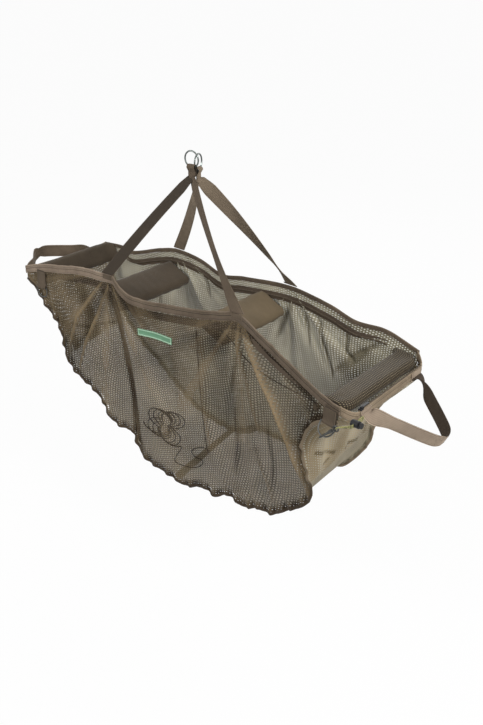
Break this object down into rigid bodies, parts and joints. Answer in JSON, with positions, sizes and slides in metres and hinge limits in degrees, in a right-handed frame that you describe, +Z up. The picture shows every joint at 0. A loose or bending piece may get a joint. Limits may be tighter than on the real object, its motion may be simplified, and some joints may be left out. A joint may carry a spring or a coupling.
{
  "type": "recovery sling",
  "caption": "Large mesh recovery and weigh sling for fish, hung open from two steel rings on webbing straps, with floats, end handles and a clipped retention cord.",
  "frame": {"origin": "The hanging point, in the middle between the two rings, where a scale's hook would be.", "axes": "+X is the right end with the zip and the drooping handle, along the sling's length. +Z is up. -Y is the front wall with the label."},
  "size_m": [1.4746, 0.3641, 0.9034],
  "materials": {
    "mesh": "open polyester mesh, dull olive brown",
    "webbing": "woven brown webbing",
    "binding": "dark brown woven binding tape",
    "zip_tape": "dark zip tape",
    "zip_coil": "moulded nylon coil",
    "float_cover": "coated cloth over a foam float",
    "bright_steel": "polished welded steel",
    "dark_steel": "gunmetal coating on steel",
    "cord_fibre": "thin braided cord",
    "camo_fibre": "braided camouflage cord",
    "lock_plastic": "black moulded plastic",
    "label_cloth": "plain pale green tag"
  },
  "bodies": {
    "sling": {"back_inner_coil": "zip_coil", "back_inner_tape": "zip_tape", "back_left_strap_patch": "webbing", "back_panel": "mesh", "back_right_strap_patch": "webbing", "back_rim_band": "webbing", "back_seam_tape": "binding", "base_cross_tape": "binding", "base_panel": "mesh", "cord_anchor": "webbing", "cord_hank": "cord_fibre", "front_inner_coil": "zip_coil", "front_inner_tape": "zip_tape", "front_left_strap_patch": "webbing", "front_panel": "mesh", "front_right_strap_patch": "webbing", "front_rim_band": "webbing", "front_seam_tape": "binding", "label_tag": "label_cloth", "left_cross_float": "float_cover", "left_end_band": "webbing", "left_end_float": "float_cover", "left_end_panel": "mesh", "left_handle_back_patch": "webbing", "left_handle_front_patch": "webbing", "left_ring_tab": "webbing", "retention_cord": "cord_fibre", "right_cross_float": "float_cover", "right_end_band": "webbing", "right_end_float": "float_cover", "right_end_panel": "mesh", "right_end_zip_coil": "zip_coil", "right_handle_back_patch": "webbing", "right_handle_front_patch": "webbing", "right_ring_tab": "webbing"},
    "front_strap": {"front_strap": "webbing"},
    "back_strap": {"back_strap": "webbing"},
    "front_ring": {"front_ring": "bright_steel"},
    "back_ring": {"back_ring": "bright_steel"},
    "left_handle": {"left_handle": "webbing"},
    "right_handle": {"right_handle": "webbing"},
    "left_d_ring": {"left_d_ring": "dark_steel"},
    "right_d_ring": {"right_d_ring": "dark_steel"},
    "snap_clip": {"snap_clip": "dark_steel"},
    "clip_gate": {"clip_gate": "bright_steel"},
    "clip_eye": {"clip_eye": "bright_steel", "clip_lanyard": "camo_fibre", "cord_lock": "lock_plastic"},
    "cord_lock_button": {"cord_lock_button": "lock_plastic"},
    "zip_slider": {"zip_slider": "dark_steel"},
    "zip_puller": {"zip_puller": "dark_steel"}
  },
  "joints": [
    {"name": "front_strap_fold", "type": "hinge", "parent": "sling", "child": "front_strap", "pos_m": [0.016, -0.12735, -0.32499], "axis": [0.9979, 0.0615, 0.0208], "range_deg": [0, 120]},
    {"name": "back_strap_fold", "type": "hinge", "parent": "sling", "child": "back_strap", "pos_m": [0, 0.12737, -0.3334], "axis": [-1, 0, 0], "range_deg": [0, 118]},
    {"name": "front_ring_swing", "type": "hinge", "parent": "front_strap", "child": "front_ring", "pos_m": [0.004, -0.015, -0.034], "axis": [0.9903, 0.1392, 0], "range_deg": [0, 88]},
    {"name": "back_ring_swing", "type": "hinge", "parent": "back_strap", "child": "back_ring", "pos_m": [-0.004, 0.015, -0.048], "axis": [-0.3256, 0.9455, 0], "range_deg": [-16, 88]},
    {"name": "left_handle_lift", "type": "hinge", "parent": "sling", "child": "left_handle", "pos_m": [-0.6046, 0, -0.4295], "axis": [0, 1, 0], "range_deg": [-9, 72]},
    {"name": "right_handle_lift", "type": "hinge", "parent": "sling", "child": "right_handle", "pos_m": [0.6046, 0, -0.4465], "axis": [0, -1, 0], "range_deg": [-42, 66]},
    {"name": "left_d_ring_swing", "type": "hinge", "parent": "sling", "child": "left_d_ring", "pos_m": [-0.49283, -0.15824, -0.44026], "axis": [-0.9997, -0.0244, 0], "range_deg": [0, 44]},
    {"name": "right_d_ring_swing", "type": "hinge", "parent": "sling", "child": "right_d_ring", "pos_m": [0.55088, -0.16769, -0.46896], "axis": [-0.9894, 0.1454, 0], "range_deg": [-20, 60]},
    {"name": "snap_clip_swing", "type": "hinge", "parent": "right_d_ring", "child": "snap_clip", "pos_m": [0.54808, -0.18677, -0.49194], "axis": [-0.9894, 0.1454, 0], "range_deg": [-60, 12]},
    {"name": "clip_gate_press", "type": "hinge", "parent": "snap_clip", "child": "clip_gate", "pos_m": [0.56505, -0.18217, -0.47554], "axis": [-0.6947, 0, 0.7193], "range_deg": [0, 20], "stiffness_Nm_per_rad": 0.02, "springref_deg": -11.46},
    {"name": "clip_eye_swivel", "type": "hinge", "parent": "snap_clip", "child": "clip_eye", "pos_m": [0.5744, -0.18677, -0.46651], "axis": [0.7193, 0, 0.6947], "range_deg": [-90, 20]},
    {"name": "cord_lock_button_press", "type": "slide", "parent": "clip_eye", "child": "cord_lock_button", "axis": [-0.9903, 0.0891, -0.1064], "range_m": [0, 0.0025], "stiffness_N_per_m": 400, "springref_m": -0.002},
    {"name": "zip_slide", "type": "slide", "parent": "sling", "child": "zip_slider", "axis": [0, 0.9996, 0.0285], "range_m": [0, 0.232]},
    {"name": "zip_puller_flip", "type": "hinge", "parent": "zip_slider", "child": "zip_puller", "pos_m": [0.598, -0.1179, -0.4308], "axis": [1, 0, 0], "range_deg": [0, 170]}
  ]
}
